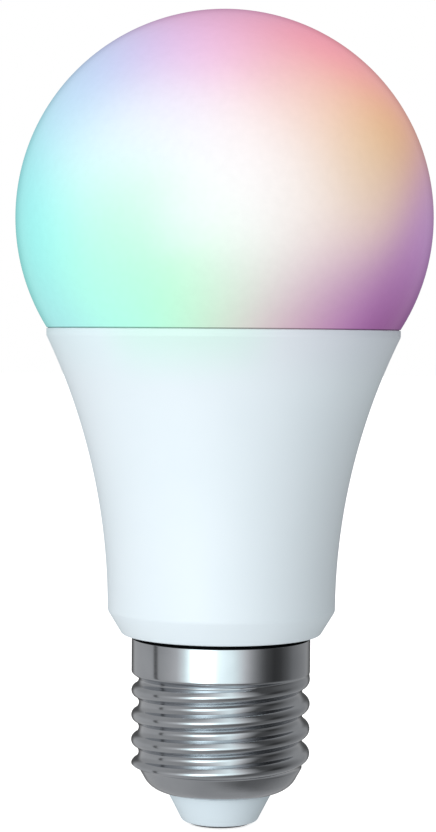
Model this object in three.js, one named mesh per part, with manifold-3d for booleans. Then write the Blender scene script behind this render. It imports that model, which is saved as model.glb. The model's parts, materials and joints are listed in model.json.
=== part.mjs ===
// A screw-in smart LED lamp: opal globe, plastic-clad heat sink, Wi-Fi colour light engine, mains driver
// and an Edison screw cap. Millimetres, +Z up along the lamp's axis, -Y to the front.
// The origin is the middle of the centre contact's underside, where the lampholder's tongue presses.
import * as THREE from "three";
import { mergeVertices } from "three/addons/utils/BufferGeometryUtils.js";
import Module from "manifold-3d";

const wasm = await Module();
wasm.setup();

// ---------- driving dimensions: the outer pieces ----------
const ROUND = 36; // sides of the large turned parts
const MEDIUM_ROUND = 24; // sides of the insulator and the contact
const SMALL_ROUND = 16; // sides of the small turned parts

const globe = { radius: 30.25, semiHeight: 30.05, centreZ: 88.1, wall: 1.2 };
const seam = { globeZ: 72.2, housingZ: 72.1, grooveRadius: 25.5 }; // a fine groove runs round the joint
const neck = { outer: 23.6, inner: 22.5, bottomZ: 70.1, beadOuter: 24.05, beadZ: 71.2, beadHalf: 0.3 };
const seal = { sideGap: 0.2, endGap: 0.05 };

const skirt = {
  rimRadius: 25.7,
  rimBottomZ: 71.1, // below this the flank flares as one large arc
  waistRadius: 16.6,
  waistZ: 31.2, // the arc is vertical here
  flankRadius: 92,
  lipRadius: 14.5,
  lipZ: 27.75,
  lipRound: 0.3,
  wall: 1.4,
  ledgeZ: 69.2,
  socketRadius: 23.9, // bore that takes the globe's neck
  floorZ: 29.4,
};
const snapGroove = { depth: 0.4, openHalf: 0.6, floorHalf: 0.3 }; // takes the bead on the globe's neck
const spigot = { outer: 11.4, inner: 10.2, bottomZ: 9 }; // the tube that the cap is pressed on
const guideRib = { reach: 0.7, root: 0.4, clearance: 0.3, width: 0.6, bottomGap: 1, topGap: 0.5 };

const cap = {
  crestRadius: 13.05, // E27: 26.05 to 26.45 across the crests
  threadDepth: 1.096, // so that the crest's and the root's arcs just meet
  threadRound: 1.025, // radius of both arcs
  pitch: 3.629, // seven turns to the inch, right-handed
  innerRadius: 11.65,
  topZ: 27.15,
  collarZ: 22.3, // the plain collar ends here and the thread begins
  collarBlend: 1.2,
  threadEndZ: 8.2,
  threadFade: 0.6,
  crestAtLeftZ: 19.4, // height of the first crest on the -X side
  wall: 0.35,
};
// The cap's bowl is a piece of an ellipse from the lip round the insulator out to the cone's angle, in
// radians under the level of the centre, and a cone from there up to the thread's end.
const bowl = {
  centreRadius: 7.7,
  centreZ: 8.2,
  semiRadius: 3.8,
  semiHeight: 3.4,
  lipRadius: 7.75,
  coneAngle: 0.44,
};
const insulator = {
  bottomZ: 0.35,
  footRadius: 5.5,
  footRound: 0.3,
  neckRadius: 7.45,
  neckZ: 4.1,
  neckTopZ: 5.2,
  flangeRadius: 9.0,
  flangeZ: 5.75,
  topZ: 6.6,
  pinHoleRadius: 1.35,
};
const contact = { headRadius: 4.7, headHeight: 0.35, edge: 0.2, shankRadius: 1.1, topZ: 7.4 };

// ---------- driving dimensions: the heat path and the light engine ----------
const cup = { gap: 0.25, wall: 0.9, bottomZ: 33.5, topZ: 69.0 };
const plate = { bottomZ: 65, thickness: 1.5, gap: 0.12 };
const pad = { radius: 20.1, thickness: 0.3 };
const ledBoard = { radius: 20.4, thickness: 1.0 };
const whiteLeds = { count: 12, pitchRadius: 15.5, radial: 2.8, tangential: 3.5, height: 0.7 };
const whiteWell = { rim: 0.45, depth: 0.12 };
const colourLeds = { count: 4, pitchRadius: 9.5, side: 5, height: 1.6 };
const colourWell = { radius: 1.85, depth: 0.3 };
const screws = { pitchRadius: 9.6, headRadius: 2.2, headHeight: 1.4, shankRadius: 1.2, length: 6 };
const crossRecess = { half: 1.1, slotHalf: 0.25, depth: 0.7 };
// Holes through the plate, the pad and the board: clearances for radio and screws, half sizes for the pins.
const opening = { radio: 0.4, screw: 0.15, pinsX: 6, pinsY: 0.75 };
const PAST = 1; // how far a cutting shape runs past the face it cuts

// ---------- driving dimensions: the electronics ----------
const driver = { y: -1.4, thickness: 1.2, bottomZ: 11, topZ: 62.5, neckHalf: 9.4, bodyHalf: 12.4 };
const shoulder = { bottomZ: 30, topZ: 32.5 }; // the driver board widens over this height
const radio = { y: 2.4, thickness: 0.8, halfWidth: 6.5, bottomZ: 48, topZ: 78 };
const pins = { count: 6, pitch: 2, side: 0.64, y: -3.0, topZ: 71 };
const pinBase = { endMargin: 1, depth: 2, bottom: 3, top: 0.5 };
const socket = { endMargin: 1.2, half: 1.1, height: 3.7, hole: 0.45 };
const antenna = { width: 0.6, thickness: 0.15, runs: 6, edge: 1, aboveBoard: 2.6, feed: 1.5 };
const shieldCan = { half: 5.5, height: 1.6, bottomZ: 51.5, topZ: 63 };
const crystal = { x0: 1.4, x1: 4.6, height: 0.7, bottomZ: 55, topZ: 57.5 };
const linkHeader = { half: 5, bottomZ: 49, topZ: 51.5 };

// The parts on the driver board: x is across it, off is how far they stand from its face.
const bulkCapacitor = { radius: 4, x: -4.8, off: 4.4, bottomZ: 33, topZ: 48 };
const outputCapacitor = { radius: 3.15, x: 6.2, off: 3.6, bottomZ: 46, topZ: 57 };
const filmCapacitor = { x0: -9, x1: -1, off: 0.2, depth: 4.5, bottomZ: 50, topZ: 58.5 };
const powerChoke = { flange: 4.4, winding: 3.9, height: 7, x: 5.2, off: 0.2, z: 38 };
const filterChoke = { flange: 3, winding: 2.6, height: 8, x: 4.2, off: 3.2, z: 12.5 };
const varistor = { radius: 3.5, x: -3.6, off: 0.3, thickness: 3.1, z: 24 };
const fuseResistor = { radius: 1.6, x: 3.8, off: 1.9, bottomZ: 13, topZ: 22 };
const catchDiode = { x0: -9.5, x1: -7, height: 2.2, bottomZ: 47, topZ: 51.5 };
const senseResistors = { count: 2, x0: 7.6, x1: 9.4, height: 0.6, bottomZ: 47, length: 3.2, pitch: 4.5 };
const chips = {
  bridge_rectifier: { x: 0, z: 26, length: 5, width: 4, height: 2.4, legs: 4 },
  power_chip: { x: -5.5, z: 39, length: 5, width: 4, height: 1.6, legs: 8 },
  led_driver_chip: { x: 4, z: 39, length: 10, width: 4, height: 1.6, legs: 16 },
};
const chipLeg = { pitch: 1.27, half: 0.2, height: 0.5, reach: 0.9, standOff: 0.1 };
const canShape = { bevel: 0.4, grooveZ: 1.2, grooveHalf: 0.5, grooveDepth: 0.4, rim: 1, dish: 0.2 };
const CHOKE_RIM = 1.2; // thickness of a choke's flanges

const wireRadius = 0.6;
const lineRoute = [[3, driver.y, 10.4], [2.8, -1.2, 9.4], [1.2, -0.5, 9.0], [0, 0, 8.2]];
const neutralRoute = [[-3, driver.y, 10.4], [-4.6, -1.4, 8.9], [-7.4, -1.4, 8.3], [-10.3, -1.4, 8.2]];

const boardTopZ = plate.bottomZ + plate.thickness + pad.thickness + ledBoard.thickness;
const driverFront = driver.y - driver.thickness / 2;
const driverBack = driver.y + driver.thickness / 2;
const radioFront = radio.y - radio.thickness / 2;
const radioBack = radio.y + radio.thickness / 2;

// ---------- materials ----------
const finish = (color, roughness, metalness = 0) =>
  new THREE.MeshStandardMaterial({ color, roughness, metalness });
const opal = finish(0xf2f0f6, 0.45);
const whitePlastic = finish(0xe6edf2, 0.5);
const silicone = finish(0xf4f4f2, 0.7);
const nickel = finish(0xb4b7bb, 0.22, 1);
const aluminium = finish(0xc2c5c9, 0.4, 1);
const padGrey = finish(0x8a8f96, 0.85);
const whiteMask = finish(0xf5f5f2, 0.5);
const ledBody = finish(0xf7f4ea, 0.45);
const warmPhosphor = finish(0xf3c544, 0.4);
const coolPhosphor = finish(0xf1e08a, 0.4);
const colourLens = finish(0xd9dcdf, 0.3);
const steel = finish(0xa9adb2, 0.3, 1);
const greenBoard = finish(0x1f6b3c, 0.5);
const blueBoard = finish(0x15406e, 0.45);
const gold = finish(0xd8a93c, 0.3, 1);
const blackPlastic = finish(0x17181a, 0.5);
const blackSleeve = finish(0x1b1f2a, 0.35);
const filmRed = finish(0xa43a22, 0.45);
const copperWinding = finish(0xb4652f, 0.35, 1);
const ferrite = finish(0x3a3b3f, 0.6);
const varistorBlue = finish(0x2c5fa8, 0.5);
const resistorBody = finish(0x6f9a7a, 0.5);
const redWire = finish(0xb8242a, 0.5);
const blackWire = finish(0x1a1a1c, 0.5);

// ---------- shape helpers ----------
const point = (r, z) => new THREE.Vector2(r, z);

// Turns a profile of [radius, height] points, listed up the outside and back down the inside, about Z.
function turned(profile, sides = ROUND) {
  const points = profile.map(([r, z]) => point(r, z));
  const first = points[0];
  const last = points.at(-1);
  if (first.x > 0 || last.x > 0) points.push(first.clone());
  return new THREE.LatheGeometry(points, sides).rotateX(Math.PI / 2);
}

function box(x0, x1, y0, y1, z0, z1) {
  return new THREE.BoxGeometry(x1 - x0, y1 - y0, z1 - z0)
    .translate((x0 + x1) / 2, (y0 + y1) / 2, (z0 + z1) / 2);
}

// A round bar along "x", "y" or "z", from low to high on that axis, centred on the other two.
function bar(axis, radius, low, high, a, b, sides = SMALL_ROUND) {
  const shape = new THREE.CylinderGeometry(radius, radius, high - low, sides);
  const middle = (low + high) / 2;
  if (axis === "x") return shape.rotateZ(Math.PI / 2).translate(middle, a, b);
  if (axis === "y") return shape.translate(a, middle, b);
  return shape.rotateX(Math.PI / 2).translate(a, b, middle);
}

// A closed outline of [u, v] points pushed along Y, with u on X and v on Z.
function plateAlongY(outline, y0, y1) {
  const shape = new THREE.Shape(outline.map(([u, v]) => point(u, v)));
  return new THREE.ExtrudeGeometry(shape, { depth: y1 - y0, bevelEnabled: false })
    .rotateX(Math.PI / 2)
    .translate(0, y1, 0);
}

// Points on an ellipse's arc, from one angle to another, both from the +R direction.
function arc(centreR, centreZ, semiR, semiZ, from, to, steps) {
  const points = [];
  for (let i = 0; i <= steps; i++) {
    const angle = from + ((to - from) * i) / steps;
    points.push([Math.max(0, centreR + semiR * Math.cos(angle)), centreZ + semiZ * Math.sin(angle)]);
  }
  return points;
}

// Points up a wall whose radius is a function of height.
function wallPoints(radiusAt, from, to, steps) {
  const points = [];
  for (let i = 0; i <= steps; i++) {
    const z = from + ((to - from) * i) / steps;
    points.push([radiusAt(z), z]);
  }
  return points;
}

function solid(geometry) {
  const plain = geometry.clone();
  plain.deleteAttribute("normal");
  plain.deleteAttribute("uv");
  const merged = mergeVertices(plain, 1e-4);
  return new wasm.Manifold(
    new wasm.Mesh({
      numProp: 3,
      vertProperties: new Float32Array(merged.attributes.position.array),
      triVerts: new Uint32Array(merged.index.array),
    }),
  );
}

function geometryOf(made) {
  const mesh = made.getMesh();
  const geometry = new THREE.BufferGeometry();
  geometry.setAttribute("position", new THREE.BufferAttribute(new Float32Array(mesh.vertProperties), 3));
  geometry.setIndex(new THREE.BufferAttribute(new Uint32Array(mesh.triVerts), 1));
  return geometry;
}

const joined = (first, ...rest) => geometryOf(rest.reduce((sum, g) => sum.add(solid(g)), solid(first)));
const cut = (first, ...rest) => geometryOf(rest.reduce((left, g) => left.subtract(solid(g)), solid(first)));

const lamp = new THREE.Group();
function add(name, geometry, material) {
  const mesh = new THREE.Mesh(geometry, material);
  mesh.name = name;
  lamp.add(mesh);
}

// ---------- the walls' radius at a height ----------
const flankRadiusAt = (z) =>
  skirt.waistRadius + skirt.flankRadius - Math.sqrt(skirt.flankRadius ** 2 - (z - skirt.waistZ) ** 2);
const skirtInnerAt = (z) => flankRadiusAt(z) - skirt.wall;
const cupOuterAt = (z) => skirtInnerAt(z) - cup.gap;
const cupInnerAt = (z) => cupOuterAt(z) - cup.wall;

// ---------- globe ----------
function diffuserDome() {
  const { radius, semiHeight, centreZ, wall } = globe;
  const seamAngle = Math.asin((seam.globeZ - centreZ) / semiHeight);
  const innerRootZ = seam.globeZ + wall / 2;
  const innerAngle = Math.asin((innerRootZ - centreZ) / (semiHeight - wall));
  return turned([
    [neck.outer, neck.bottomZ],
    [neck.outer, neck.beadZ - 2 * neck.beadHalf],
    [neck.beadOuter, neck.beadZ - neck.beadHalf],
    [neck.beadOuter, neck.beadZ + neck.beadHalf],
    [neck.outer, neck.beadZ + 2 * neck.beadHalf],
    [neck.outer, seam.housingZ],
    [seam.grooveRadius, seam.housingZ],
    [seam.grooveRadius, seam.globeZ],
    ...arc(0, centreZ, radius, semiHeight, seamAngle, 0, 4),
    ...arc(0, centreZ, radius, semiHeight, 0, Math.PI / 2, 9).slice(1),
    ...arc(0, centreZ, radius - wall, semiHeight - wall, Math.PI / 2, innerAngle, 8),
    [neck.inner, seam.globeZ - wall],
    [neck.inner, neck.bottomZ],
  ]);
}

const diffuserSeal = () =>
  turned([
    [neck.inner, skirt.ledgeZ + seal.endGap],
    [skirt.socketRadius - seal.sideGap, skirt.ledgeZ + seal.endGap],
    [skirt.socketRadius - seal.sideGap, neck.bottomZ - seal.endGap],
    [neck.inner, neck.bottomZ - seal.endGap],
  ]);

// ---------- housing ----------
function housingShell() {
  const { lipRadius, lipZ, lipRound, socketRadius, rimRadius, ledgeZ, waistZ, floorZ } = skirt;
  const grooveRadius = socketRadius + snapGroove.depth;
  const shell = turned([
    [spigot.outer, spigot.bottomZ],
    [spigot.outer, lipZ],
    [lipRadius - lipRound, lipZ],
    [lipRadius, lipZ + lipRound / 2],
    ...wallPoints(flankRadiusAt, waistZ, skirt.rimBottomZ, 9),
    [rimRadius, seam.housingZ],
    [socketRadius, seam.housingZ],
    [socketRadius, neck.beadZ + snapGroove.openHalf],
    [grooveRadius, neck.beadZ + snapGroove.floorHalf],
    [grooveRadius, neck.beadZ - snapGroove.floorHalf],
    [socketRadius, neck.beadZ - snapGroove.openHalf],
    [socketRadius, ledgeZ],
    ...wallPoints(skirtInnerAt, ledgeZ, waistZ, 5),
    [skirtInnerAt(waistZ), floorZ],
    [spigot.inner, floorZ],
    [spigot.inner, spigot.bottomZ],
  ]);
  return joined(shell, ...guideRibs());
}

// Two pairs of ribs inside the spigot hold the driver board's edges between them.
function guideRibs() {
  const { reach, root, clearance, width, bottomGap, topGap } = guideRib;
  const ribs = [];
  for (const side of [-1, 1])
    for (const [face, away] of [[driverFront, -1], [driverBack, 1]]) {
      const xs = [side * (driver.neckHalf - reach), side * (spigot.inner + root)];
      const ys = [face + away * clearance, face + away * (clearance + width)];
      ribs.push(box(Math.min(...xs), Math.max(...xs), Math.min(...ys), Math.max(...ys),
        spigot.bottomZ + bottomGap, skirt.floorZ - topGap));
    }
  return ribs;
}

// ---------- heat path ----------
const heatSinkCup = () =>
  turned([
    ...wallPoints(cupOuterAt, cup.bottomZ, cup.topZ, 5),
    ...wallPoints(cupInnerAt, cup.topZ, cup.bottomZ, 5),
  ]);

// The shapes that cut the radio's, the header's and the screws' holes through a layer of the light engine.
function layerHoles(bottomZ, topZ) {
  const low = bottomZ - PAST;
  const high = topZ + PAST;
  const radioHalf = radio.halfWidth + opening.radio;
  const screwHole = screws.shankRadius + opening.screw;
  return [
    box(-radioHalf, radioHalf, radioFront - opening.radio, radioBack + opening.radio, low, high),
    box(-opening.pinsX, opening.pinsX, pins.y - opening.pinsY, pins.y + opening.pinsY, low, high),
    ...[-1, 1].map((side) => bar("z", screwHole, low, high, 0, side * screws.pitchRadius)),
  ];
}

function spreaderPlate() {
  const topZ = plate.bottomZ + plate.thickness;
  const disc = turned([
    [0, plate.bottomZ],
    [cupInnerAt(plate.bottomZ) - plate.gap, plate.bottomZ],
    [cupInnerAt(topZ) - plate.gap, topZ],
    [0, topZ],
  ]);
  return cut(disc, ...layerHoles(plate.bottomZ, topZ));
}

function roundLayer(radius, bottomZ, thickness) {
  const disc = bar("z", radius, bottomZ, bottomZ + thickness, 0, 0, ROUND);
  return cut(disc, ...layerHoles(bottomZ, bottomZ + thickness));
}

// ---------- light engine ----------
// A white LED: a reflector body with its phosphor filled to just under the rim.
function whiteLed(angle) {
  const { radial, tangential, height, pitchRadius } = whiteLeds;
  const { rim, depth } = whiteWell;
  const halfX = radial / 2;
  const halfY = tangential / 2;
  const body = box(-halfX, halfX, -halfY, halfY, 0, height);
  const hollow = box(rim - halfX, halfX - rim, rim - halfY, halfY - rim, height - depth, height + PAST);
  return cut(body, hollow).translate(pitchRadius, 0, boardTopZ).rotateZ(angle);
}

function colourLed(angle) {
  const { side, height, pitchRadius } = colourLeds;
  const body = box(-side / 2, side / 2, -side / 2, side / 2, 0, height);
  const hollow = bar("z", colourWell.radius, height - colourWell.depth, height + PAST, 0, 0);
  const x = pitchRadius * Math.cos(angle);
  const y = pitchRadius * Math.sin(angle);
  return cut(body, hollow).translate(x, y, boardTopZ);
}

function boardScrew(y) {
  const { headRadius, headHeight, shankRadius, length } = screws;
  const { half, slotHalf, depth } = crossRecess;
  const headZ = boardTopZ + headHeight;
  const tipZ = boardTopZ - length;
  const body = turned([
    [0, tipZ],
    [shankRadius / 2, tipZ],
    [shankRadius, tipZ + shankRadius],
    [shankRadius, boardTopZ],
    [headRadius, boardTopZ],
    [headRadius, boardTopZ + headHeight / 2],
    [headRadius * 0.75, headZ],
    [0, headZ],
  ], SMALL_ROUND);
  const slots = [[half, slotHalf], [slotHalf, half]].map(([x, w]) =>
    box(-x, x, -w, w, headZ - depth, headZ + PAST));
  return cut(body, ...slots).translate(0, y, 0);
}

const pinPositions = () =>
  Array.from({ length: pins.count }, (_, i) => (i - (pins.count - 1) / 2) * pins.pitch);
const pinRowHalf = ((pins.count - 1) * pins.pitch) / 2;

function headerSocket() {
  const { endMargin, half, height, hole } = socket;
  const end = pinRowHalf + endMargin;
  const body = box(-end, end, pins.y - half, pins.y + half, boardTopZ, boardTopZ + height);
  const holes = pinPositions().map((x) =>
    box(x - hole, x + hole, pins.y - hole, pins.y + hole, boardTopZ - PAST, boardTopZ + height + PAST));
  return cut(body, ...holes);
}

function pinHeader() {
  const { endMargin, depth, bottom, top } = pinBase;
  const end = pinRowHalf + endMargin;
  const half = pins.side / 2;
  const baseTopZ = driver.topZ - top;
  const base = box(-end, end, driverFront - depth, driverFront, driver.topZ - bottom, baseTopZ);
  const posts = pinPositions().map((x) =>
    box(x - half, x + half, pins.y - half, pins.y + half, baseTopZ - top, pins.topZ));
  return joined(base, ...posts);
}

// ---------- radio ----------
function radioBoard() {
  const { halfWidth, bottomZ, topZ } = radio;
  return box(-halfWidth, halfWidth, radioFront, radioBack, bottomZ, topZ);
}

function radioShieldCan() {
  const { half, height, bottomZ, topZ } = shieldCan;
  return box(-half, half, radioBack, radioBack + height, bottomZ, topZ);
}

function radioCrystal() {
  const { x0, x1, height, bottomZ, topZ } = crystal;
  return box(x0, x1, radioFront - height, radioFront, bottomZ, topZ);
}

function boardLinkHeader() {
  const { half, bottomZ, topZ } = linkHeader;
  return box(-half, half, driverBack, radioFront, bottomZ, topZ);
}

// The aerial: a copper track that folds up and down the top of the radio board.
function antennaTrace() {
  const { width, thickness, runs, edge, aboveBoard, feed } = antenna;
  const y0 = radioFront - thickness;
  const left = edge - radio.halfWidth;
  const step = (-2 * left - width) / (runs - 1);
  const low = boardTopZ + aboveBoard;
  const high = radio.topZ - edge;
  const strips = [];
  for (let i = 0; i < runs; i++) {
    const x = left + i * step;
    strips.push(box(x, x + width, y0, radioFront, low, high));
    const z = i % 2 ? low : high - width;
    if (i < runs - 1) strips.push(box(x, x + step + width, y0, radioFront, z, z + width));
  }
  strips.push(box(left, left + width, y0, radioFront, low - feed, low + width));
  return joined(...strips);
}

// ---------- driver ----------
function driverBoard() {
  const { neckHalf, bodyHalf, bottomZ, topZ } = driver;
  return plateAlongY([
    [-neckHalf, bottomZ], [neckHalf, bottomZ], [neckHalf, shoulder.bottomZ], [bodyHalf, shoulder.topZ],
    [bodyHalf, topZ], [-bodyHalf, topZ], [-bodyHalf, shoulder.topZ], [-neckHalf, shoulder.bottomZ],
  ], driverFront, driverBack);
}

// An upright electrolytic capacitor: a sleeved can with the rolled groove near its lower end.
function capacitorCan({ radius, x, off, bottomZ, topZ }) {
  const { bevel, grooveZ, grooveHalf, grooveDepth, rim, dish } = canShape;
  const middle = bottomZ + grooveZ + grooveHalf;
  return turned([
    [0, bottomZ], [radius - bevel, bottomZ], [radius, bottomZ + bevel], [radius, middle - grooveHalf],
    [radius - grooveDepth, middle], [radius, middle + grooveHalf], [radius, topZ - bevel],
    [radius - bevel, topZ], [radius - rim, topZ], [radius - rim - dish, topZ - dish], [0, topZ - dish],
  ], SMALL_ROUND).translate(x, driverFront - off, 0);
}

// A drum choke: two ferrite flanges with the winding between them, standing on the plane Z = 0.
function drumChoke({ flange, winding, height }) {
  return turned([
    [0, 0], [flange, 0], [flange, CHOKE_RIM], [winding, CHOKE_RIM],
    [winding, height - CHOKE_RIM], [flange, height - CHOKE_RIM], [flange, height], [0, height],
  ], SMALL_ROUND);
}

function powerChokeDrum() {
  const { x, off, z } = powerChoke;
  return drumChoke(powerChoke).rotateX(Math.PI / 2).translate(x, driverFront - off, z);
}

function filterChokeDrum() {
  const { x, off, z } = filterChoke;
  return drumChoke(filterChoke).translate(x, driverBack + off, z);
}

function varistorDisc() {
  const { radius, x, off, thickness, z } = varistor;
  return bar("y", radius, driverFront - off - thickness, driverFront - off, x, z);
}

function fuseBody() {
  const { radius, x, off, bottomZ, topZ } = fuseResistor;
  return bar("z", radius, bottomZ, topZ, x, driverFront - off);
}

// A chip on the driver board's back, its legs above and below it.
function chip({ x, z, length, width, height, legs }) {
  const { pitch, half, height: legHeight, reach, standOff } = chipLeg;
  const y0 = driverBack;
  const body = box(x - length / 2, x + length / 2, y0 + standOff, y0 + height, z - width / 2, z + width / 2);
  const columns = [];
  for (let i = 0; i < legs / 2; i++) {
    const at = x + (i - (legs / 2 - 1) / 2) * pitch;
    columns.push(box(at - half, at + half, y0, y0 + legHeight, z - width / 2 - reach, z + width / 2 + reach));
  }
  return joined(body, ...columns);
}

const onFront = ({ x0, x1, off, depth, bottomZ, topZ }) =>
  box(x0, x1, driverFront - off - depth, driverFront - off, bottomZ, topZ);
const onBack = ({ x0, x1, height, bottomZ, topZ }) =>
  box(x0, x1, driverBack, driverBack + height, bottomZ, topZ);

function senseResistor(i) {
  const bottomZ = senseResistors.bottomZ + i * senseResistors.pitch;
  return onBack({ ...senseResistors, bottomZ, topZ: bottomZ + senseResistors.length });
}

// ---------- wires ----------
function wire(points) {
  const sides = 8;
  const corners = Array.from({ length: sides }, (_, i) => (i / sides) * 2 * Math.PI);
  const section = new THREE.Shape(
    corners.map((a) => point(wireRadius * Math.cos(a), wireRadius * Math.sin(a))),
  );
  const route = new THREE.CatmullRomCurve3(points.map((p) => new THREE.Vector3(...p)));
  return new THREE.ExtrudeGeometry(section, { steps: 8, extrudePath: route, bevelEnabled: false });
}

// ---------- cap ----------
// How far out of the groove the thread stands at a turn's fraction: 1 on the crest, 0 in the root.
// The crest and the root are equal arcs that meet halfway.
function threadShape(turn) {
  const { pitch, threadDepth, threadRound } = cap;
  const fromCrest = Math.abs(turn - Math.round(turn)) * pitch;
  const fall = (distance) => (threadRound - Math.sqrt(threadRound ** 2 - distance ** 2)) / threadDepth;
  return fromCrest < pitch / 4 ? 1 - fall(fromCrest) : fall(pitch / 2 - fromCrest);
}
const smooth = (low, high, v) => {
  const t = Math.min(1, Math.max(0, (v - low) / (high - low)));
  return t * t * (3 - 2 * t);
};

// The rolled shell: a plain collar, the thread, and the bowl that folds in round the insulator.
function screwCapShell() {
  const { crestRadius, threadDepth, topZ, collarZ, threadEndZ, wall } = cap;
  const { centreRadius, centreZ, semiRadius, semiHeight, lipRadius, coneAngle } = bowl;
  const rootRadius = crestRadius - threadDepth;
  const threadRows = 36;
  const lipAngle = -Math.acos((lipRadius - centreRadius) / semiRadius);
  const innerLipAngle = -Math.acos((lipRadius - centreRadius) / (semiRadius - wall));
  const shell = turned([
    ...arc(centreRadius, centreZ, semiRadius, semiHeight, lipAngle, -coneAngle, 6),
    ...wallPoints(() => rootRadius, threadEndZ, collarZ, threadRows),
    [crestRadius, topZ],
    [cap.innerRadius, topZ],
    [cap.innerRadius, threadEndZ + PAST],
    ...arc(centreRadius, centreZ, semiRadius - wall, semiHeight - wall, 0, innerLipAngle, 6),
  ]);
  const place = shell.attributes.position;
  for (let i = 0; i < place.count; i++) {
    const x = place.getX(i);
    const y = place.getY(i);
    const r = Math.hypot(x, y);
    if (Math.abs(r - rootRadius) > 1e-3) continue; // only the rows laid at the root radius carry the thread
    const grown = threadRadiusAt(Math.atan2(y, x), place.getZ(i));
    place.setXY(i, (x * grown) / r, (y * grown) / r);
  }
  return shell;
}

function threadRadiusAt(angle, z) {
  const { crestRadius, threadDepth, pitch, crestAtLeftZ, threadEndZ, threadFade, collarZ, collarBlend } = cap;
  const turn = (z - crestAtLeftZ) / pitch - (angle - Math.PI) / (2 * Math.PI);
  const thread = threadShape(turn) * smooth(threadEndZ, threadEndZ + threadFade, z);
  const intoCollar = smooth(collarZ - collarBlend, collarZ, z);
  return crestRadius - threadDepth + threadDepth * (thread + (1 - thread) * intoCollar);
}

function capInsulator() {
  const { bottomZ, footRadius, footRound, neckRadius, neckZ, neckTopZ } = insulator;
  const { flangeRadius, flangeZ, topZ, pinHoleRadius } = insulator;
  return turned([
    [pinHoleRadius, bottomZ],
    [footRadius - footRound, bottomZ],
    [footRadius + footRound / 2, bottomZ + footRound],
    [neckRadius, neckZ],
    [neckRadius, neckTopZ],
    [flangeRadius, flangeZ],
    [flangeRadius, topZ],
    [pinHoleRadius, topZ],
  ], MEDIUM_ROUND);
}

function centreContact() {
  const { headRadius, headHeight, edge, shankRadius, topZ } = contact;
  return turned([
    [0, 0], [headRadius - edge, 0], [headRadius, edge], [headRadius, headHeight],
    [shankRadius, headHeight], [shankRadius, topZ], [0, topZ],
  ], MEDIUM_ROUND);
}

// ---------- assembly: globe, housing and heat path ----------
add("diffuser_dome", diffuserDome(), opal);
add("diffuser_seal", diffuserSeal(), silicone);
add("housing_shell", housingShell(), whitePlastic);
add("heat_sink_cup", heatSinkCup(), aluminium);
add("heat_spreader_plate", spreaderPlate(), aluminium);
add("thermal_pad", roundLayer(pad.radius, plate.bottomZ + plate.thickness, pad.thickness), padGrey);

// ---------- assembly: light engine ----------
add("led_board", roundLayer(ledBoard.radius, boardTopZ - ledBoard.thickness, ledBoard.thickness), whiteMask);
for (let i = 0; i < whiteLeds.count; i++) {
  const tone = i % 2 ? "cool" : "warm";
  const angle = ((i + 0.5) / whiteLeds.count) * 2 * Math.PI;
  add(`${tone}_white_led_${Math.floor(i / 2) + 1}`, whiteLed(angle), i % 2 ? coolPhosphor : warmPhosphor);
}
for (let i = 0; i < colourLeds.count; i++)
  add(`rgb_led_${i + 1}`, colourLed(((i + 0.5) / colourLeds.count) * 2 * Math.PI), ledBody);
[-1, 1].forEach((side, i) => add(`board_screw_${i + 1}`, boardScrew(side * screws.pitchRadius), steel));
add("led_header_socket", headerSocket(), blackPlastic);

// ---------- assembly: radio ----------
add("radio_board", radioBoard(), blueBoard);
add("radio_shield_can", radioShieldCan(), steel);
add("radio_crystal", radioCrystal(), colourLens);
add("antenna_trace", antennaTrace(), gold);
add("board_link_header", boardLinkHeader(), blackPlastic);

// ---------- assembly: driver ----------
add("driver_board", driverBoard(), greenBoard);
add("led_pin_header", pinHeader(), gold);
add("bulk_capacitor", capacitorCan(bulkCapacitor), blackSleeve);
add("output_capacitor", capacitorCan(outputCapacitor), blackSleeve);
add("film_capacitor", onFront(filmCapacitor), filmRed);
add("power_choke", powerChokeDrum(), ferrite);
add("filter_choke", filterChokeDrum(), copperWinding);
add("varistor", varistorDisc(), varistorBlue);
add("fusible_resistor", fuseBody(), resistorBody);
for (const [name, sizes] of Object.entries(chips)) add(name, chip(sizes), blackPlastic);
add("catch_diode", onBack(catchDiode), blackPlastic);
for (let i = 0; i < senseResistors.count; i++) add(`sense_resistor_${i + 1}`, senseResistor(i), ferrite);
add("line_wire", wire(lineRoute), redWire);
add("neutral_wire", wire(neutralRoute), blackWire);

// ---------- assembly: cap ----------
add("screw_cap_shell", screwCapShell(), nickel);
add("cap_insulator", capInsulator(), whitePlastic);
add("centre_contact", centreContact(), nickel);

export default lamp;
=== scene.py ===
"""The looks of a smart LED lamp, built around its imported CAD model.

The globe, the housing, the cap, its insulator and the centre contact are turned anew as fine shells in place
of their faceted CAD solids. The parts inside keep their CAD shape and get materials made from the record's
slots. Sizes here are millimetres in the lamp's own frame, and become metres where a mesh is made.
"""

import json
import math

import bmesh
import bpy
from mathutils import Euler, Matrix, Vector


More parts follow.
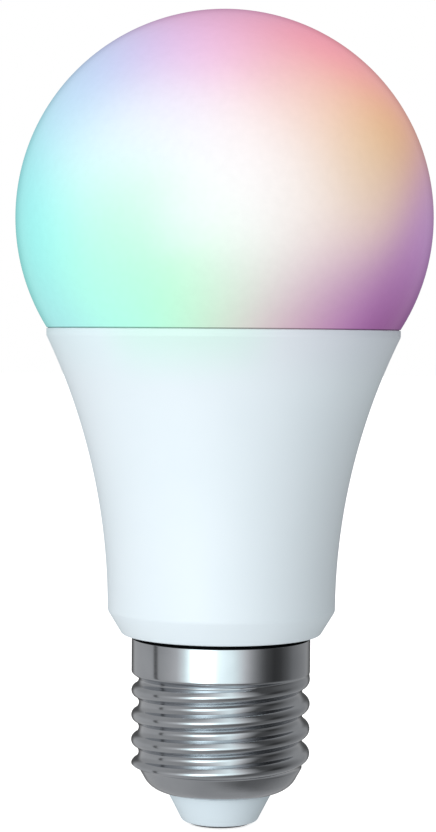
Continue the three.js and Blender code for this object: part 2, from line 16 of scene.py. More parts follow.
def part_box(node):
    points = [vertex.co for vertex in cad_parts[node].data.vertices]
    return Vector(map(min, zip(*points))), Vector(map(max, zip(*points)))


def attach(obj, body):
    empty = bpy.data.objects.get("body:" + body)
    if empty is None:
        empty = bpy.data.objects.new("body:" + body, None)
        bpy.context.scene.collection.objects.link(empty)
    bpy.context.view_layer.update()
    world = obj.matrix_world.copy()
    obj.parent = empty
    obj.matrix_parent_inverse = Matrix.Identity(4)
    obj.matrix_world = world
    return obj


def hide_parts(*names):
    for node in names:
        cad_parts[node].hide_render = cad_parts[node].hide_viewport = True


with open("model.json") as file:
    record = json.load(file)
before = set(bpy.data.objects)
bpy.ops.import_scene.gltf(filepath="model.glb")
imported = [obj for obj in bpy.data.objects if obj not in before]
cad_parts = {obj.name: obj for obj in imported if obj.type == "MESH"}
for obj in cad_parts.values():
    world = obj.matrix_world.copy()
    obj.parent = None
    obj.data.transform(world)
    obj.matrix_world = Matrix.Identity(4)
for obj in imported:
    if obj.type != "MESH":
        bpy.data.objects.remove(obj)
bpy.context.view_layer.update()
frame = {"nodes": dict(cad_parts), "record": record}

MM = 0.001
TURN = 2 * math.pi


def corners(node):
    """A CAD node's lowest and highest corner, in millimetres."""
    low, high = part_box(node)
    return low / MM, high / MM


# ---------- sizes, from the frame where it has them ----------
dome_low, dome_high = corners("diffuser_dome")
housing_low, housing_high = corners("housing_shell")
cap_low, cap_high = corners("screw_cap_shell")
insulator_high = corners("cap_insulator")[1]
contact_high = corners("centre_contact")[1]

GLOBE_RADIUS = dome_high.x
GLOBE_SEMI_HEIGHT = 30.05
GLOBE_CENTRE_Z = dome_high.z - GLOBE_SEMI_HEIGHT
GLOBE_WALL = 1.2
GLOBE_SEAM_Z = 72.2
GLOBE_ROOT_Z = 72.7  # the globe's hollow ends here and its neck begins
GROOVE_RADIUS = 25.5
NECK_OUTER = 23.6
NECK_INNER = 22.5
NECK_TOP_Z = 71.3
BEAD_RADIUS = 24.05
BEAD_Z = 71.2
BEAD_HALF = 0.3

RIM_RADIUS = housing_high.x
RIM_TOP_Z = housing_high.z
RIM_BOTTOM_Z = 71.1
LEAK_END_Z = 63.1  # the globe's light, painted on the housing, tints it down to here
FLANK_RADIUS = 92
WAIST_RADIUS = 16.6
WAIST_Z = 31.2
LIP_RADIUS = 14.5
LIP_Z = 27.75
HOUSING_WALL = 1.4
SOCKET_RADIUS = 23.9
LEDGE_Z = 69.2
FLOOR_Z = 29.4
SPIGOT_OUTER = 11.4
SPIGOT_INNER = 10.2

CREST_RADIUS = cap_high.x
THREAD_DEPTH = 1.096
THREAD_ROUND = 1.025  # radius of the crest's and the root's arcs
THREAD_PITCH = 3.629
THREAD_END_Z = 8.2
SHADE_FADE = 6  # the insulator's painted shade ends this far above the cap's lip
THREAD_FADE = 0.6
FIRST_CREST_Z = 19.4  # on the lamp's left side
COLLAR_Z = 22.3
COLLAR_BLEND = 1.2
CAP_BORE = 11.65
CAP_BORE_Z = 9.2
CAP_WALL = 0.35
BOWL_CENTRE = (7.7, 8.2)
BOWL_SEMI_AXES = (3.8, 3.4)
BOWL_LIP_RADIUS = 7.75
BOWL_CONE_ANGLE = math.degrees(0.44)  # above it the bowl is a cone up to the thread's end
FOOT_Z = 0.35
FOOT_RADIUS = 5.5
INSULATOR_NECK = 7.45
INSULATOR_NECK_Z = (4.1, 5.2)
FLANGE_Z = 5.75
PIN_HOLE_RADIUS = 1.35
CONTACT_EDGE = 0.2
SHANK_RADIUS = 1.1

SIDES = 192  # round the fine turned shells
CREASE = math.radians(34)  # edges sharper than this stay hard
SAME = 1e-6  # lengths closer than this are the same

# ---------- camera ----------
CAMERA_PLACE = (-0.71, -321, 70.7)
CAMERA_DOWN = math.radians(2)
CAMERA_ROLL = math.radians(0.47)
LENS = 95.4
SENSOR = 36


def make_camera():
    data = bpy.data.cameras.new("camera")
    data.lens = LENS
    data.sensor_width = SENSOR
    camera = bpy.data.objects.new("camera", data)
    bpy.context.scene.collection.objects.link(camera)
    camera.location = Vector(CAMERA_PLACE) * MM
    look = Euler((math.pi / 2 - CAMERA_DOWN, 0, 0)).to_matrix()
    roll = Matrix.Rotation(CAMERA_ROLL, 3, "Z")
    camera.rotation_euler = (look @ roll).to_euler()
    data.clip_start = 0.01
    data.clip_end = 20
    bpy.context.scene.camera = camera


# ---------- node graphs ----------
class Graph:
    """A node tree with short calls to add nodes. A value is a socket, a number, or a tuple."""

    def __init__(self, tree):
        self.tree = tree
        tree.nodes.clear()

    def add(self, kind, inputs=None, **settings):
        node = self.tree.nodes.new(kind)
        for name, value in settings.items():
            setattr(node, name, value)
        for key, value in (inputs or {}).items():
            self.feed(node.inputs[key], value)
        return node

    def feed(self, socket, value):
        if isinstance(value, bpy.types.NodeSocket):
            self.tree.links.new(value, socket)
        else:
            socket.default_value = value

    def math(self, operation, a, b=0.0, c=0.0):
        return self.add("ShaderNodeMath", {0: a, 1: b, 2: c}, operation=operation).outputs[0]

    def vector(self, operation, a, b=(0, 0, 0), scale=None):
        node = self.add("ShaderNodeVectorMath", {0: a, 1: b}, operation=operation)
        if scale is not None:
            self.feed(node.inputs["Scale"], scale)
        return node.outputs["Value" if operation in ("DOT_PRODUCT", "LENGTH") else "Vector"]

    def mix(self, factor, a, b, blend="MIX"):
        node = self.add("ShaderNodeMix", data_type="RGBA", blend_type=blend)
        self.feed(node.inputs["Factor"], factor)
        self.feed(node.inputs["A"], a)
        self.feed(node.inputs["B"], b)
        return node.outputs["Result"]

    def spread(self, value, low, high, to_low=0.0, to_high=1.0, smooth=False):
        kind = "SMOOTHSTEP" if smooth else "LINEAR"
        inputs = {"Value": value, "From Min": low, "From Max": high, "To Min": to_low, "To Max": to_high}
        return self.add("ShaderNodeMapRange", inputs, interpolation_type=kind).outputs["Result"]

    def noise(self, where, scale, detail=3.0, roughness=0.5):
        inputs = {"Vector": where, "Scale": scale, "Detail": detail, "Roughness": roughness}
        return self.add("ShaderNodeTexNoise", inputs).outputs["Fac"]

    def vary(self, noise, low, high):
        """A value that follows a noise, whose own values lie mostly between 0.3 and 0.7."""
        return self.spread(noise, 0.3, 0.7, low, high)

    def ramp(self, value, stops):
        node = self.add("ShaderNodeValToRGB", {"Fac": value})
        elements = node.color_ramp.elements
        while len(elements) < len(stops):
            elements.new(0.5)
        for element, (position, color) in zip(elements, stops):
            element.position = position
            element.color = color
        return node.outputs["Color"]

    def bump(self, height, distance, strength):
        """Raises the surface by up to the distance, in millimetres."""
        inputs = {"Height": height, "Distance": distance * MM, "Strength": strength}
        return self.add("ShaderNodeBump", inputs).outputs["Normal"]

    def place(self):
        """The point on the object, in millimetres in the lamp's frame."""
        coordinates = self.add("ShaderNodeTexCoord").outputs["Object"]
        return self.vector("SCALE", coordinates, scale=1 / MM)

    def xyz(self, vector):
        return self.add("ShaderNodeSeparateXYZ", {0: vector}).outputs

    def height(self, place):
        return self.xyz(place)[2]


def new_material(name):
    material = bpy.data.materials.new(name)
    material.use_nodes = True
    graph = Graph(material.node_tree)
    output = graph.add("ShaderNodeOutputMaterial")
    shader = graph.add("ShaderNodeBsdfPrincipled")
    graph.tree.links.new(shader.outputs["BSDF"], output.inputs["Surface"])
    return material, graph, shader.inputs


def opaque(color, scale=1.0):
    return (*(scale * c for c in color[:3]), 1.0)


def grey(level):
    return (level, level, level, 1.0)


def linear(hex_color):
    """A colour written as "#rrggbb", as the shader's linear values."""
    parts = [int(hex_color[i : i + 2], 16) / 255 for i in (1, 3, 5)]
    return tuple(p / 12.92 if p <= 0.04045 else ((p + 0.055) / 1.055) ** 2.4 for p in parts)


def direction(azimuth, elevation):
    """The unit vector to a place round the lamp: azimuth 0 is the front, 90 the right, in degrees."""
    a, e = math.radians(azimuth), math.radians(elevation)
    return Vector((math.sin(a) * math.cos(e), -math.cos(a) * math.cos(e), math.sin(e)))


# ---------- the lit globe ----------
# Soft patches of coloured light: name, azimuth, elevation, tightness, colour.
# The front's colours began as a least-squares fit to the photograph. Over half were then changed.
# Besides the lamp's own coloured light, the front's patches hold painted shade: they are darker towards the
# right and the lower right edge.
GLOW = [
    ("core", 0, 3, 20, "#fdfbff"),
    ("snow", 12, 15, 20, "#f8f4f5"),
    ("pearl", 3, -10, 20, "#f4ffff"),
    ("lavender", -20, 22, 22, "#f2f3ff"),
    ("mist", -35, 12, 20, "#eafcff"),
    ("sky", -53, 28, 20, "#c6ebfd"),
    ("periwinkle", -48, 39, 24, "#bcd0f8"),
    ("lilac", -29, 47, 24, "#dabeea"),
    ("orchid", -2, 47, 24, "#facdf2"),
    ("rose", 21, 51, 24, "#e89ca4"),
    ("salmon", 46, 48, 22, "#fc8caa"),
    ("mallow", 0, 68, 18, "#dca0c8"),
    ("coral", 68, 38, 18, "#eca8ac"),
    ("peach", 22, 32, 20, "#f8d4d1"),
    ("beige", 37, 25, 20, "#f2d0a2"),
    ("sand", 56, 22, 24, "#dcb052"),
    ("cream", 42, 8, 24, "#dfcab6"),
    ("mauve", 67, 4, 26, "#b48ac6"),
    ("purple", 62, -14, 24, "#b280ba"),
    ("plum", 64, -29, 24, "#7e3a7a"),
    ("heather", 33, -25, 24, "#a668ae"),
    ("oat", 22, -7, 20, "#f4e4da"),
    ("blush", 15, -30, 24, "#cf9eb2"),
    ("ivory", 2, -24, 24, "#dbe9d8"),
    ("green", -10, -21, 28, "#9effc4"),
    ("leaf", -25, -5, 28, "#c6ffda"),
    ("mint", -29, -14, 20, "#bcffe2"),
    ("cyan", -50, -2, 20, "#9efff8"),
    ("azure", -72, 8, 18, "#9cecf0"),
    ("teal", -74, -14, 18, "#98efe8"),
    ("lagoon", -60, -32, 18, "#aae6ea"),
    ("aqua", -34, -25, 20, "#b2ffee"),
    ("back_pearl", 178, 2, 12, "#ffffff"),
    ("back_blue", -150, 34, 12, "#b4d4fa"),
    ("back_sky", -118, 6, 12, "#b0eefa"),
    ("back_mint", -140, -24, 14, "#b8ffdc"),
    ("back_ivory", 178, -26, 14, "#f0f4dc"),
    ("back_sand", 112, 24, 14, "#f2cc98"),
    ("back_peach", 145, 22, 12, "#fbe0d0"),
    ("back_violet", 110, -18, 14, "#b48cc8"),
    ("back_plum", 145, -28, 14, "#c79cc8"),
    ("back_rose", 150, 56, 12, "#f2a8c4"),
    ("back_lilac", -150, 62, 12, "#d8c0f0"),
]


def glow_color(graph, place):
    """The light's colour at a place on the globe: the patches, weighed by how near each one is."""
    outward = graph.vector("NORMALIZE", graph.vector("SUBTRACT", place, (0, 0, GLOBE_CENTRE_Z)))
    total_color = (0, 0, 0)
    total_weight = 0.0
    for _, azimuth, elevation, tightness, color in GLOW:
        near = graph.vector("DOT_PRODUCT", outward, direction(azimuth, elevation))
        weight = graph.math("EXPONENT", graph.math("MULTIPLY_ADD", near, tightness, -tightness))
        share = graph.vector("SCALE", linear(color), scale=weight)
        total_color = graph.vector("ADD", total_color, share)
        total_weight = graph.math("ADD", total_weight, weight)
    return graph.vector("SCALE", total_color, scale=graph.math("DIVIDE", 1.0, total_weight))


def opal_plastic():
    material, graph, shader = new_material("opal_plastic")
    place = graph.place()
    glow = glow_color(graph, place)
    grain = graph.noise(place, scale=0.9, detail=4)
    mottled = graph.vector("SCALE", glow, scale=graph.vary(grain, 0.985, 1.01))
    lit_z = GLOBE_SEAM_Z + 0.1  # the groove's faces, below it, get painted shade: their glow is dimmed
    lit = graph.spread(graph.height(place), GLOBE_SEAM_Z, lit_z, 0.3, 1.0, smooth=True)
    graph.feed(shader["Base Color"], graph.vector("SCALE", mottled, scale=0.14))
    graph.feed(shader["Emission Color"], graph.vector("SCALE", mottled, scale=lit))
    shader["Emission Strength"].default_value = 0.9
    shader["Specular IOR Level"].default_value = 0.0
    shader["Coat Weight"].default_value = 0.6
    shader["Coat IOR"].default_value = 1.4
    shader["Coat Roughness"].default_value = 0.15
    graph.feed(shader["Roughness"], graph.vary(grain, 0.46, 0.54))
    frost = graph.noise(place, scale=6, detail=2)
    graph.feed(shader["Normal"], graph.bump(frost, distance=0.02, strength=0.4))
    return material


# ---------- other materials ----------
def white_plastic():
    material, graph, shader = new_material("white_plastic")
    place = graph.place()
    height = graph.height(place)
    cloud = graph.noise(place, scale=0.05)
    cool = opaque((0.66, 0.745, 0.795))
    paler = opaque((0.68, 0.76, 0.81))
    plain = graph.mix(graph.spread(cloud, 0.35, 0.65), cool, paler)
    # The globe's light on the housing under the seam is painted into its colour, most of all where it is
    # green.
    leak = graph.spread(height, LEAK_END_Z, RIM_TOP_Z, 0.0, 0.1, smooth=True)
    outward = graph.vector("NORMALIZE", graph.vector("MULTIPLY", place, (1, 1, 0)))
    green_side = graph.vector("DOT_PRODUCT", outward, direction(-12, 0))
    green_leak = graph.math("MULTIPLY", leak, graph.spread(green_side, 0.85, 1.0, 0.0, 2.4, smooth=True))
    tinted = graph.mix(leak, plain, glow_color(graph, place))
    tinted = graph.mix(green_leak, tinted, opaque(linear("#98e6be")))
    # Painted shade under the cap: the insulator is a little darker than the housing.
    above_cap = graph.spread(height, cap_low.z, cap_low.z + SHADE_FADE)
    shade = graph.mix(above_cap, opaque((0.82, 0.85, 0.865)), grey(1))
    shaded = graph.vector("MULTIPLY", tinted, shade)
    graph.feed(shader["Base Color"], shaded)
    # The white plastic's colour also glows a little, as painted light that brightens it.
    graph.feed(shader["Emission Color"], shaded)
    shader["Emission Strength"].default_value = 0.03
    grain = graph.noise(place, scale=3, detail=4)
    graph.feed(shader["Roughness"], graph.vary(grain, 0.4, 0.48))
    shader["Specular IOR Level"].default_value = 0.35
    graph.feed(shader["Normal"], graph.bump(grain, distance=0.02, strength=0.3))
    return material


def joint_painted_shade():
    # Near-black painted shade for the shadow in the joint, not a part of its own.
    material, graph, shader = new_material("joint_painted_shade")
    grain = graph.noise(graph.place(), scale=4)
    dark = graph.mix(grain, opaque((0.004, 0.005, 0.006)), opaque((0.012, 0.013, 0.015)))
    graph.feed(shader["Base Color"], dark)
    shader["Roughness"].default_value = 0.9
    shader["Specular IOR Level"].default_value = 0.1
    return material


def nickel():
    material, graph, shader = new_material("nickel")
    place = graph.place()
    along = graph.vector("MULTIPLY", place, (0.15, 0.15, 8))
    turned_lines = graph.noise(along, scale=1, detail=4, roughness=0.6)
    stains = graph.noise(place, scale=0.16)
    dull = opaque((0.465, 0.485, 0.515))
    bright = opaque((0.51, 0.53, 0.56))
    graph.feed(shader["Base Color"], graph.mix(graph.spread(stains, 0.35, 0.65), dull, bright))
    shader["Metallic"].default_value = 1.0
    polish = graph.vary(turned_lines, 0.07, 0.15)
    bowl_top = THREAD_END_Z - 0.8
    pressed = graph.spread(graph.height(place), THREAD_END_Z, bowl_top, 0.0, 0.1, smooth=True)
    graph.feed(shader["Roughness"], graph.math("ADD", polish, pressed))
    graph.feed(shader["Normal"], graph.bump(turned_lines, distance=0.006, strength=0.5))
    return material


def moulded(name, color, roughness):
    """A moulded or dipped surface: a fine grain and a little change of tone."""
    material, graph, shader = new_material(name)
    place = graph.place()
    tone = graph.vary(graph.noise(place, scale=0.35), 0, 1)
    graph.feed(shader["Base Color"], graph.mix(tone, opaque(color, 0.8), opaque(color)))
    grain = graph.noise(place, scale=5)
    graph.feed(shader["Roughness"], graph.vary(grain, roughness - 0.06, roughness + 0.06))
    graph.feed(shader["Normal"], graph.bump(grain, distance=0.02, strength=0.4))
    return material


def metal(name, color, roughness):
    """A metal with fine lines along X and Y and a little tarnish."""
    material, graph, shader = new_material(name)
    place = graph.place()
    lines = graph.noise(graph.vector("MULTIPLY", place, (0.3, 0.3, 6)), scale=1, detail=4)
    tarnish = graph.vary(graph.noise(place, scale=0.3), 0, 1)
    graph.feed(shader["Base Color"], graph.mix(tarnish, opaque(color, 0.82), opaque(color)))
    shader["Metallic"].default_value = 1.0
    graph.feed(shader["Roughness"], graph.vary(lines, roughness - 0.07, roughness + 0.07))
    graph.feed(shader["Normal"], graph.bump(lines, distance=0.01, strength=0.4))
    return material


def circuit_board(name, color):
    """Solder mask over copper tracks: straight tracks in a grid, raised a little."""
    material, graph, shader = new_material(name)
    place = graph.place()
    off_the_faces = graph.vector("ADD", place, (0.7, 0.7, 0.7))
    grid = {"Vector": off_the_faces, "Scale": 0.5, "Mortar Size": 0.06, "Mortar Smooth": 0.1}
    tracks = graph.add("ShaderNodeTexBrick", grid).outputs["Fac"]
    lighter = tuple(min(1.0, 1.35 * c + 0.01) for c in color[:3])
    graph.feed(shader["Base Color"], graph.mix(tracks, opaque(color), opaque(lighter)))
    grain = graph.noise(place, scale=4)
    graph.feed(shader["Roughness"], graph.vary(grain, 0.32, 0.42))
    graph.feed(shader["Normal"], graph.bump(tracks, distance=0.04, strength=0.6))
    return material


def led(name, color):
    """An LED: a white body with its round well of phosphor or clear resin."""
    material, graph, shader = new_material(name)
    generated = graph.add("ShaderNodeTexCoord").outputs["Generated"]
    centred = graph.vector("MULTIPLY", graph.vector("SUBTRACT", generated, (0.5, 0.5, 0)), (1, 1, 0))
    inside = graph.spread(graph.vector("LENGTH", centred), 0.33, 0.3, 0.0, 1.0, smooth=True)
    speckle = graph.noise(graph.place(), scale=9, detail=2)
    phosphor = graph.mix(speckle, opaque(color, 0.85), opaque(color))
    graph.feed(shader["Base Color"], graph.mix(inside, opaque((0.86, 0.86, 0.83)), phosphor))
    graph.feed(shader["Roughness"], graph.spread(inside, 0, 1, 0.5, 0.25))
    return material


def coil(name, color):
    """Enamelled wire wound round Z."""
    material, graph, shader = new_material(name)
    inputs = {"Vector": graph.place(), "Scale": 0.55, "Distortion": 0.4}
    turns = graph.add("ShaderNodeTexWave", inputs, wave_type="BANDS", bands_direction="Z").outputs["Fac"]
    graph.feed(shader["Base Color"], graph.mix(turns, opaque(color, 0.45), opaque(color)))
    shader["Metallic"].default_value = 0.85
    shader["Roughness"].default_value = 0.3
    graph.feed(shader["Normal"], graph.bump(turns, distance=0.1, strength=0.8))
    return material


RECIPES = {
    "white_board": circuit_board,
    "green_board": circuit_board,
    "blue_board": circuit_board,
    "warm_led": led,
    "cool_led": led,
    "colour_led": led,
    "winding": coil,
}
# The recipe and the roughness of every other slot, by its material class.
FINISHES = {
    "matte_plastic": (moulded, 0.55),
    "gloss_plastic": (moulded, 0.32),
    "rubber": (moulded, 0.75),
    "cast_iron": (moulded, 0.65),
    "aluminium": (metal, 0.38),
    "brushed_steel": (metal, 0.3),
    "brass": (metal, 0.25),
    "chrome": (metal, 0.18),
}


def slot_materials():
    """A material for each of the record's slots."""
    made = {"opal_plastic": opal_plastic(), "white_plastic": white_plastic(), "nickel": nickel()}
    for entry in frame["record"]["materials"]:
        name, color = entry["slot"], entry["base_color"]
        if name in made:
            continue
        if name in RECIPES:
            made[name] = RECIPES[name](name, color)
        else:
            recipe, roughness = FINISHES[entry["class"]]
            made[name] = recipe(name, color, roughness)
    return made


# ---------- turned shells ----------
def arc(centre, semi_axes, start, end, steps):
    """Points on an ellipse's arc in the (radius, height) plane, angles in degrees from the radius axis."""
    points = []
    for i in range(steps + 1):
        angle = math.radians(start + (end - start) * i / steps)
        radius = max(0.0, centre[0] + semi_axes[0] * math.cos(angle))
        points.append((radius, centre[1] + semi_axes[1] * math.sin(angle)))
    return points


def rounded(points, radius, steps=4):
    """The polyline with each inner corner turned into a curve that starts the given distance from it."""
    out = [points[0]]
    for before, middle, after in zip(points, points[1:], points[2:]):
        corner = Vector(middle)
        ends = []
        for other in (before, after):
            way = Vector(other) - corner
            ends.append(corner + way.normalized() * min(radius, 0.45 * way.length))
        for i in range(steps + 1):
            t = i / steps
            at = ends[0] * (1 - t) ** 2 + corner * (2 * t * (1 - t)) + ends[1] * t**2
            out.append((at.x, at.y))
    out.append(points[-1])
    return out


def turned(name, profile, closed=True, shift=None):
    """A shell turned about Z from (radius, height) points, listed up the outside and down the inside.

    shift(angle, radius, height) may move a point: it returns the point's new radius.
    """
    mesh = bmesh.new()
    rings = []
    for radius, height in profile:
        if radius < SAME:
            rings.append([mesh.verts.new((0, 0, height * MM))])
            continue
        ring = []
        for i in range(SIDES):
            angle = TURN * i / SIDES
            r = shift(angle, radius, height) if shift else radius
            ring.append(mesh.verts.new((r * math.cos(angle) * MM, r * math.sin(angle) * MM, height * MM)))
        rings.append(ring)
    pairs = list(zip(rings, rings[1:]))
    if closed:
        pairs.append((rings[-1], rings[0]))
    for low, high in pairs:
        for i in range(SIDES):
            j = (i + 1) % SIDES
            if len(low) == 1 and len(high) == 1:
                continue
            if len(low) == 1:
                mesh.faces.new((low[0], high[j], high[i]))
            elif len(high) == 1:
                mesh.faces.new((low[i], low[j], high[0]))
            else:
                mesh.faces.new((low[i], low[j], high[j], high[i]))
    data = bpy.data.meshes.new(name)
    mesh.to_mesh(data)
    mesh.free()
    shade(data)
    piece = bpy.data.objects.new(name, data)
    bpy.context.scene.collection.objects.link(piece)
    return piece


def shade(data):
    """Smooth shading, with the sharp edges kept hard."""
    mesh = bmesh.new()
    mesh.from_mesh(data)
    for face in mesh.faces:
        face.smooth = True
    for edge in mesh.edges:
        if len(edge.link_faces) == 2 and edge.calc_face_angle(0.0) > CREASE:
            edge.smooth = False
    mesh.to_mesh(data)
    mesh.free()


def finish_piece(piece, material, node):
    piece.data.materials.append(material)
    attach(piece, "root")
    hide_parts(node)


def globe_profile():
    seam_angle = math.degrees(math.asin((GLOBE_SEAM_Z - GLOBE_CENTRE_Z) / GLOBE_SEMI_HEIGHT))
    inner = (GLOBE_RADIUS - GLOBE_WALL, GLOBE_SEMI_HEIGHT - GLOBE_WALL)
    root_angle = math.degrees(math.asin((GLOBE_ROOT_Z - GLOBE_CENTRE_Z) / inner[1]))
    centre = (0, GLOBE_CENTRE_Z)
    outside = arc(centre, (GLOBE_RADIUS, GLOBE_SEMI_HEIGHT), seam_angle, 90, steps=72)
    shoulder = rounded([(GROOVE_RADIUS, GLOBE_SEAM_Z), outside[0], outside[1]], radius=0.08)
    bead = rounded([(NECK_OUTER, BEAD_Z - 2 * BEAD_HALF), (BEAD_RADIUS, BEAD_Z - BEAD_HALF),
                    (BEAD_RADIUS, BEAD_Z + BEAD_HALF), (NECK_OUTER, BEAD_Z + 2 * BEAD_HALF)],
                   radius=0.15)
    return [
        (NECK_OUTER, dome_low.z),
        *bead,
        (NECK_OUTER, RIM_TOP_Z),
        (GROOVE_RADIUS, RIM_TOP_Z),
        *shoulder[:-1],
        *outside[1:],
        *arc(centre, inner, 90, root_angle, steps=48),
        (NECK_INNER, NECK_TOP_Z),
        (NECK_INNER, dome_low.z),
    ]


def flank_radius(z):
    return WAIST_RADIUS + FLANK_RADIUS - math.sqrt(FLANK_RADIUS**2 - (z - WAIST_Z) ** 2)


def housing_profile():
    flank_steps = 60
    flank = [WAIST_Z + (RIM_BOTTOM_Z - WAIST_Z) * i / flank_steps for i in range(flank_steps + 1)]
    outside = [(flank_radius(z), z) for z in flank]
    inside = [(flank_radius(z) - HOUSING_WALL, z) for z in reversed(flank[:-4])]
    foot = rounded([(SPIGOT_OUTER, LIP_Z), (LIP_RADIUS, LIP_Z), outside[0], outside[1]], radius=0.35, steps=5)
    rim = rounded([outside[-2], outside[-1], (RIM_RADIUS, RIM_TOP_Z), (SOCKET_RADIUS, RIM_TOP_Z),
                   (SOCKET_RADIUS, LEDGE_Z)], radius=0.14)
    return [
        (SPIGOT_OUTER, housing_low.z),
        *foot[:-1],
        *outside[1:-2],
        *rim,
        *inside,
        (inside[-1][0], FLOOR_Z),
        (SPIGOT_INNER, FLOOR_Z),
        (SPIGOT_INNER, housing_low.z),
    ]


def smooth_step(low, high, value):
    t = min(1.0, max(0.0, (value - low) / (high - low)))
    return t * t * (3 - 2 * t)


def thread_shape(turn):
    """How far the thread stands out at a turn's fraction. The crest and the root are equal arcs."""
    from_crest = abs(turn - round(turn)) * THREAD_PITCH
    quarter = THREAD_PITCH / 4
    from_arc = from_crest if from_crest < quarter else 2 * quarter - from_crest
    fall = (THREAD_ROUND - math.sqrt(THREAD_ROUND**2 - from_arc**2)) / THREAD_DEPTH
    return 1 - fall if from_crest < quarter else fall


def thread_radius(angle, radius, z):
    """The rolled thread: rows laid at the root's radius stand out to the crests, and to the collar above."""
    root = CREST_RADIUS - THREAD_DEPTH
    if abs(radius - root) > SAME:
        return radius
    turn = (z - FIRST_CREST_Z) / THREAD_PITCH - (angle - math.pi) / TURN
    thread = thread_shape(turn) * smooth_step(THREAD_END_Z, THREAD_END_Z + THREAD_FADE, z)
    into_collar = smooth_step(COLLAR_Z - COLLAR_BLEND, COLLAR_Z, z)
    return root + THREAD_DEPTH * (thread + (1 - thread) * into_collar)


def cap_profile():
    root = CREST_RADIUS - THREAD_DEPTH
    rows = 150
    across = BOWL_LIP_RADIUS - BOWL_CENTRE[0]
    inner_axes = (BOWL_SEMI_AXES[0] - CAP_WALL, BOWL_SEMI_AXES[1] - CAP_WALL)
    lip = -math.degrees(math.acos(across / BOWL_SEMI_AXES[0]))
    inner_lip = -math.degrees(math.acos(across / inner_axes[0]))
    thread = [(root, THREAD_END_Z + (COLLAR_Z - THREAD_END_Z) * i / rows) for i in range(rows + 1)]
    rim = rounded([(CREST_RADIUS, COLLAR_Z + 0.3), (CREST_RADIUS, cap_high.z), (CAP_BORE, cap_high.z)],
                  radius=0.12)
    return [
        *arc(BOWL_CENTRE, BOWL_SEMI_AXES, lip, -BOWL_CONE_ANGLE, steps=32),
        *thread,
        *rim,
        (CAP_BORE, CAP_BORE_Z),
        *arc(BOWL_CENTRE, inner_axes, 0, inner_lip, steps=20),
    ]


def insulator_profile():
    neck_low, neck_high = INSULATOR_NECK_Z
    corner = (FOOT_RADIUS, FOOT_Z)
    foot = rounded([(PIN_HOLE_RADIUS, FOOT_Z), corner, (INSULATOR_NECK, neck_low)], radius=0.4, steps=5)
    return [
        *foot,
        (INSULATOR_NECK, neck_high),
        (insulator_high.x, FLANGE_Z),
        (insulator_high.x, insulator_high.z),
        (PIN_HOLE_RADIUS, insulator_high.z),
    ]


def contact_profile():
    head = rounded([(0, 0), (contact_high.x - CONTACT_EDGE, 0), (contact_high.x, CONTACT_EDGE),
                    (contact_high.x, FOOT_Z), (SHANK_RADIUS, FOOT_Z)], radius=0.06)
    return [*head, (SHANK_RADIUS, contact_high.z), (0, contact_high.z)]


def paint_joint_shade(housing, shade_material):
    """The housing's faces inside the joint with the cap are dark with near-black painted shade: the spigot
    and the lip's underside.
    """
    housing.data.materials.append(shade_material)
    for face in housing.data.polygons:
        middle = face.center / MM
        if middle.z < LIP_Z + 0.05 and Vector((middle.x, middle.y)).length < CREST_RADIUS + 0.3:
            face.material_index = 1


def build_outer_pieces(materials):
    globe = turned("globe_fine", globe_profile())
    finish_piece(globe, materials["opal_plastic"], "diffuser_dome")
    housing = turned("housing_fine", housing_profile())
    finish_piece(housing, materials["white_plastic"], "housing_shell")
    paint_joint_shade(housing, joint_painted_shade())
    cap = turned("screw_cap_fine", cap_profile(), shift=thread_radius)
    finish_piece(cap, materials["nickel"], "screw_cap_shell")
    insulator = turned("cap_insulator_fine", insulator_profile())
    finish_piece(insulator, materials["white_plastic"], "cap_insulator")
    contact = turned("centre_contact_fine", contact_profile(), closed=False)
    # The contact's metal is given a dark colour.
    dark_contact_metal = metal("contact_metal", (0.16, 0.165, 0.18), 0.45)
    finish_piece(contact, dark_contact_metal, "centre_contact")


def dress_inner_nodes(materials):
    slots = {entry["node"]: entry["material_slot"] for entry in frame["record"]["subparts"]}
    for name, node in frame["nodes"].items():
        node.data.materials.clear()
        node.data.materials.append(materials[slots[name]])


# ---------- floor and light ----------
FLOOR_RADIUS = 4000
FLOOR_GAP = 0.2  # between the floor and the lamp


def make_floor():
    mesh = bmesh.new()
    bmesh.ops.create_circle(mesh, cap_ends=True, segments=96, radius=FLOOR_RADIUS * MM)
    data = bpy.data.meshes.new("floor")
    mesh.to_mesh(data)
    mesh.free()
    floor = bpy.data.objects.new("floor", data)
    bpy.context.scene.collection.objects.link(floor)
    floor.location.z = -FLOOR_GAP * MM
    material, graph, shader = new_material("pale_floor")
    tone = graph.noise(graph.place(), scale=0.02)
    graph.feed(shader["Base Color"], graph.mix(tone, grey(0.78), grey(0.82)))
    shader["Emission Color"].default_value = (1, 1, 1, 1)
    shader["Emission Strength"].default_value = 0.75
    shader["Roughness"].default_value = 0.9
    shader["Specular IOR Level"].default_value = 0.0
    floor.data.materials.append(material)
    floor.visible_diffuse = False
    floor.visible_glossy = False


# The studio round the lamp, as brightness by azimuth at eye level: azimuth in degrees, brightness.
# It was worked out from what the cap's collar mirrors in the photograph.
STUDIO = [
    (-180, 0.52), (-104, 0.52), (-97, 0.5), (-94, 0.15), (-90, 0.15), (-87, 0.47), (-70, 0.59), (-58, 0.74),
    (-48, 1.25), (-41, 2.0), (-32, 3.7), (-22, 4.0), (-12, 3.0), (-3, 2.0), (14, 1.6), (24, 1.17), (33, 0.76),
    (40, 0.5), (47, 0.31), (54, 0.175), (61, 0.1), (72, 0.055), (82, 0.07), (95, 0.15), (106, 0.26),
    (120, 0.33), (150, 0.42), (180, 0.52),
]
# The same where there is no softbox: low down, and high up for the matt surfaces.
AWAY = [(-180, 0.5), (-60, 0.48), (-20, 0.4), (10, 0.26), (40, 0.16), (80, 0.2), (120, 0.34), (180, 0.5)]
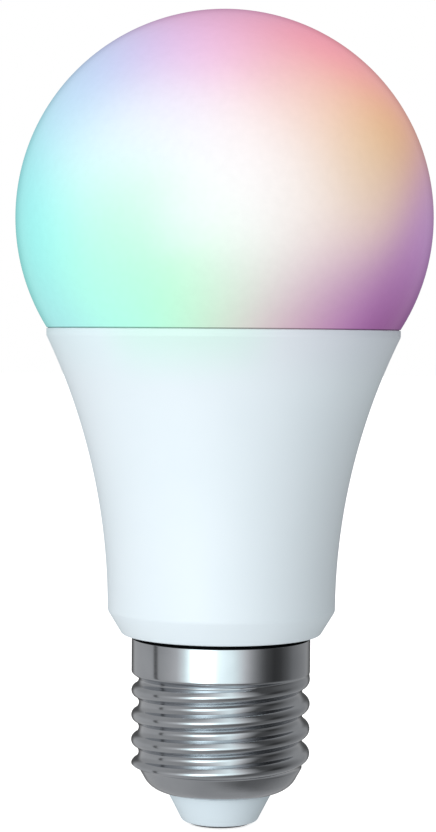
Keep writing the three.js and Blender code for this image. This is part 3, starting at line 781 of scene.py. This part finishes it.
# What polished metal mirrors above the softboxes.
MIRRORED = [(-180, 0.4), (-105, 0.45), (-54, 0.4), (-20, 0.85), (12, 1.4), (35, 0.55), (53, 0.1),
            (75, 0.1), (94, 0.2), (128, 0.4), (180, 0.4)]
ZENITH = 0.9  # straight above and below, for the matt surfaces
TABLE = 0.45  # the pale table straight below, in polished metal
FILL = 0.22  # light that reaches the matt surfaces from everywhere
BEHIND = 0.1  # the dark wall straight behind the lamp, mirrored only at its outline
TINT = (0.88, 1, 1, 1)  # of the softboxes in polished metal


def brightness_round(graph, around, table):
    """The table's brightness at a place round the lamp, 0 and 1 both being straight behind it."""
    brightest = max(brightness for _, brightness in table)
    stops = [((azimuth + 180) / 360, grey(brightness / brightest)) for azimuth, brightness in table]
    return graph.vector("SCALE", graph.ramp(around, stops), scale=brightest)


def make_studio():
    world = bpy.data.worlds.new("studio")
    bpy.context.scene.world = world
    world.use_nodes = True
    graph = Graph(world.node_tree)
    toward = graph.add("ShaderNodeTexCoord").outputs["Generated"]
    x, y, z = graph.xyz(toward)
    around = graph.spread(graph.math("ARCTAN2", x, graph.math("MULTIPLY", y, -1.0)), -math.pi, math.pi)
    band = brightness_round(graph, around, STUDIO)
    away = brightness_round(graph, around, AWAY)
    tilt = graph.math("ABSOLUTE", z)
    soft = graph.mix(graph.spread(tilt, 0.22, 0.6, smooth=True), band, away)
    soft = graph.mix(graph.spread(tilt, 0.75, 0.95, smooth=True), soft, grey(ZENITH))
    soft = graph.vector("ADD", soft, (FILL, FILL, FILL))

    mirrored = brightness_round(graph, around, MIRRORED)
    off_band = graph.math("ABSOLUTE", graph.math("ADD", z, 0.15))
    sharp = graph.mix(graph.spread(off_band, 0.12, 0.42, smooth=True), band, mirrored)
    sharp = graph.mix(graph.spread(z, -0.25, -0.5, smooth=True), sharp, away)
    sharp = graph.mix(graph.spread(z, -0.8, -0.98, smooth=True), sharp, grey(TABLE))
    bright = graph.spread(graph.xyz(sharp)[0], 0.6, 1.6, smooth=True)
    sharp = graph.mix(1.0, sharp, graph.mix(bright, grey(1), TINT), blend="MULTIPLY")
    sharp = graph.mix(graph.spread(y, 0.8, 0.96, smooth=True), sharp, grey(BEHIND))

    path = graph.add("ShaderNodeLightPath").outputs
    light = graph.mix(path["Is Glossy Ray"], soft, sharp)
    light = graph.mix(path["Is Camera Ray"], light, grey(1))
    background = graph.add("ShaderNodeBackground", {"Color": light, "Strength": 1.0})
    output = graph.add("ShaderNodeOutputWorld")
    graph.tree.links.new(background.outputs[0], output.inputs["Surface"])


scene = bpy.context.scene
scene.view_settings.view_transform = "Standard"
scene.view_settings.look = "None"
make_camera()
make_studio()
make_floor()
materials = slot_materials()
build_outer_pieces(materials)
dress_inner_nodes(materials)
